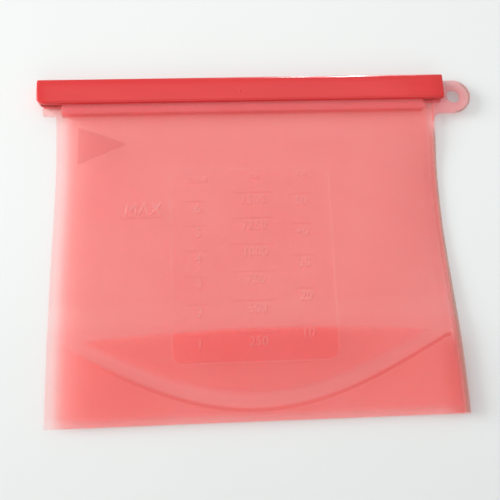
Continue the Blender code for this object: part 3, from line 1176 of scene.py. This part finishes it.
def make_bar():
    """The bar: a moulding with eased ends and a chamfer at its closed end, with its channel cut out."""
    left, right, low = BAR_LOW.x, BAR_HIGH.x, BAR_LOW.y
    chamfer, lift = BAR_CHAMFER
    sections = []
    for step, inset in ((0.0, 0.7), (0.1, 0.42), (0.3, 0.18), (0.6, 0.05), (1.0, 0.0)):
        sections.append((left + step, bar_section(inset, low + lift * (1 - step / chamfer))))
    sections.append((left + chamfer, bar_section(0.0, low)))
    sections += [(x, bar_section(0.0, low)) for x in np.linspace(left + 8.0, right - 8.0, 12)]
    for step, inset in ((0.45, 0.0), (0.2, 0.06), (0.06, 0.18), (0.0, 0.4)):
        sections.append((right - step, bar_section(inset, low)))
    bar = loft("bar_moulding", sections)
    hollow = [(left + BAR_END_WALL, 0.0), (right - 1.0, 0.0), (right + 0.5, 0.6)]
    channel = loft("bar_channel", [(x, channel_section(grow)) for x, grow in hollow])
    cut = bar.modifiers.new("channel", "BOOLEAN")
    cut.object = channel
    cut.solver = "EXACT"
    bpy.context.view_layer.update()
    shaped = bar.evaluated_get(bpy.context.evaluated_depsgraph_get())
    mesh = bpy.data.meshes.new_from_object(shaped)
    bar.modifiers.clear()
    bar.data = mesh
    bar.data.shade_smooth()
    bar.data.set_sharp_from_angle(angle=math.radians(32.0))
    bpy.data.objects.remove(channel)
    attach(bar, "slide_bar")
    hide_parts("slide_bar")


def make_gate_mark():
    """The nub left on the bar's face where it was snapped off its sprue: a small dome."""
    middle_x, middle_y = GATE_MARK
    half_x, half_y, rise = GATE_MARK_SIZE
    sink = 0.05
    turn = np.linspace(0.0, 2.0 * math.pi, 17)[:-1]
    rings = np.linspace(0.0, math.pi / 2, 5)[:-1]
    points = []
    for angle in rings:
        for t in turn:
            x = middle_x + half_x * math.cos(angle) * math.cos(t)
            y = middle_y + half_y * math.cos(angle) * math.sin(t)
            points.append((x, y, BAR_HIGH.z - sink + rise * math.sin(angle)))
    points.append((middle_x, middle_y, BAR_HIGH.z - sink + rise))
    count = len(turn)
    faces = grid_faces(len(rings), count, wrap=True)
    last = (len(rings) - 1) * count
    faces += [(last + i, last + (i + 1) % count, len(points) - 1) for i in range(count)]
    faces.append(tuple(range(count - 1, -1, -1)))
    nub = make_piece("bar_gate_mark", points, faces, BAR_PLASTIC)
    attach(nub, "slide_bar")


# ------------------------------ set


def make_table():
    """The table the bag lies on, just under it."""
    size, drop = 4.0, -0.0002
    corners = [(-size, -size, drop), (size, -size, drop), (size, size, drop), (-size, size, drop)]
    mesh = bpy.data.meshes.new("table")
    mesh.from_pydata(corners, [], [(0, 1, 2, 3)])
    mesh.materials.append(table_paint())
    add_object("table", mesh)


def add_area_light(name, place, target, size, watts, colour=(1.0, 1.0, 1.0)):
    """A rectangular light, turned towards its target."""
    light = bpy.data.lights.new(name, "AREA")
    light.shape = "RECTANGLE"
    light.size, light.size_y = size
    light.energy = watts
    light.color = colour
    lamp = add_object(name, light)
    lamp.location = place
    lamp.rotation_mode = "QUATERNION"
    lamp.rotation_quaternion = (Vector(target) - Vector(place)).to_track_quat("-Z", "Y")
    return lamp


def make_lights():
    """A bright room with a window on the left, and two narrow panes that glint on the bar's top edge."""
    world = bpy.data.worlds.new("studio")
    world.use_nodes = True
    sky = world.node_tree.nodes["Background"]
    sky.inputs["Color"].default_value = (0.95, 0.98, 1.0, 1.0)
    sky.inputs["Strength"].default_value = 0.565
    bpy.context.scene.world = world
    bag = (0.0, 0.0, 0.0)
    add_area_light("window", (-2.95, 0.6, 1.45), bag, (1.8, 1.5), 127.0, (1.0, 0.995, 0.97))
    add_area_light("front", (0.1, -1.6, 1.0), bag, (1.5, 0.8), 4.0)
    add_area_light("top", (0.0, 0.6, 2.2), bag, (1.5, 1.5), 5.0, (0.96, 0.99, 1.0))
    for name, x, aim_x, width in (("pane_1", 0.243, 0.03, 0.036), ("pane_2", 0.403, 0.06, 0.056)):
        pane = add_area_light(name, (x, 1.69, 0.5), (aim_x, 0.09, 0.0), (width, 0.9), 340.0 * width)
        pane.visible_diffuse = False
        pane.visible_transmission = False


def make_camera():
    """The viewer, a little in front of the bag and looking down on it."""
    camera = bpy.data.cameras.new("camera")
    camera.lens = 46.8
    camera.sensor_width = 36.0
    camera.clip_start = 0.01
    holder = add_object("camera", camera)
    holder.location = (-0.0244, -0.08544, 0.35302)
    holder.rotation_euler = (math.radians(13.008), math.radians(-2.294), math.radians(-2.133))
    bpy.context.scene.camera = holder


scene = bpy.context.scene
scene.view_settings.view_transform = "Standard"
scene.cycles.transparent_max_bounces = 48
scene.cycles.max_bounces = 20
scene.cycles.diffuse_bounces = 8

make_camera()
make_lights()
make_table()
make_sleeve()
make_gusset()
make_platforms()
make_seam_beads()
make_gusset_edges()
make_collar("front_collar_band", 1.0)
make_collar("back_collar_band", -1.0)
make_rib("front_rib", 1.0)
make_rib("back_rib", -1.0)
make_tab()
make_seam_cores()
make_tab_core()
make_panel()
make_arrow()
make_marks()
make_numerals()
make_bar()
make_gate_mark()
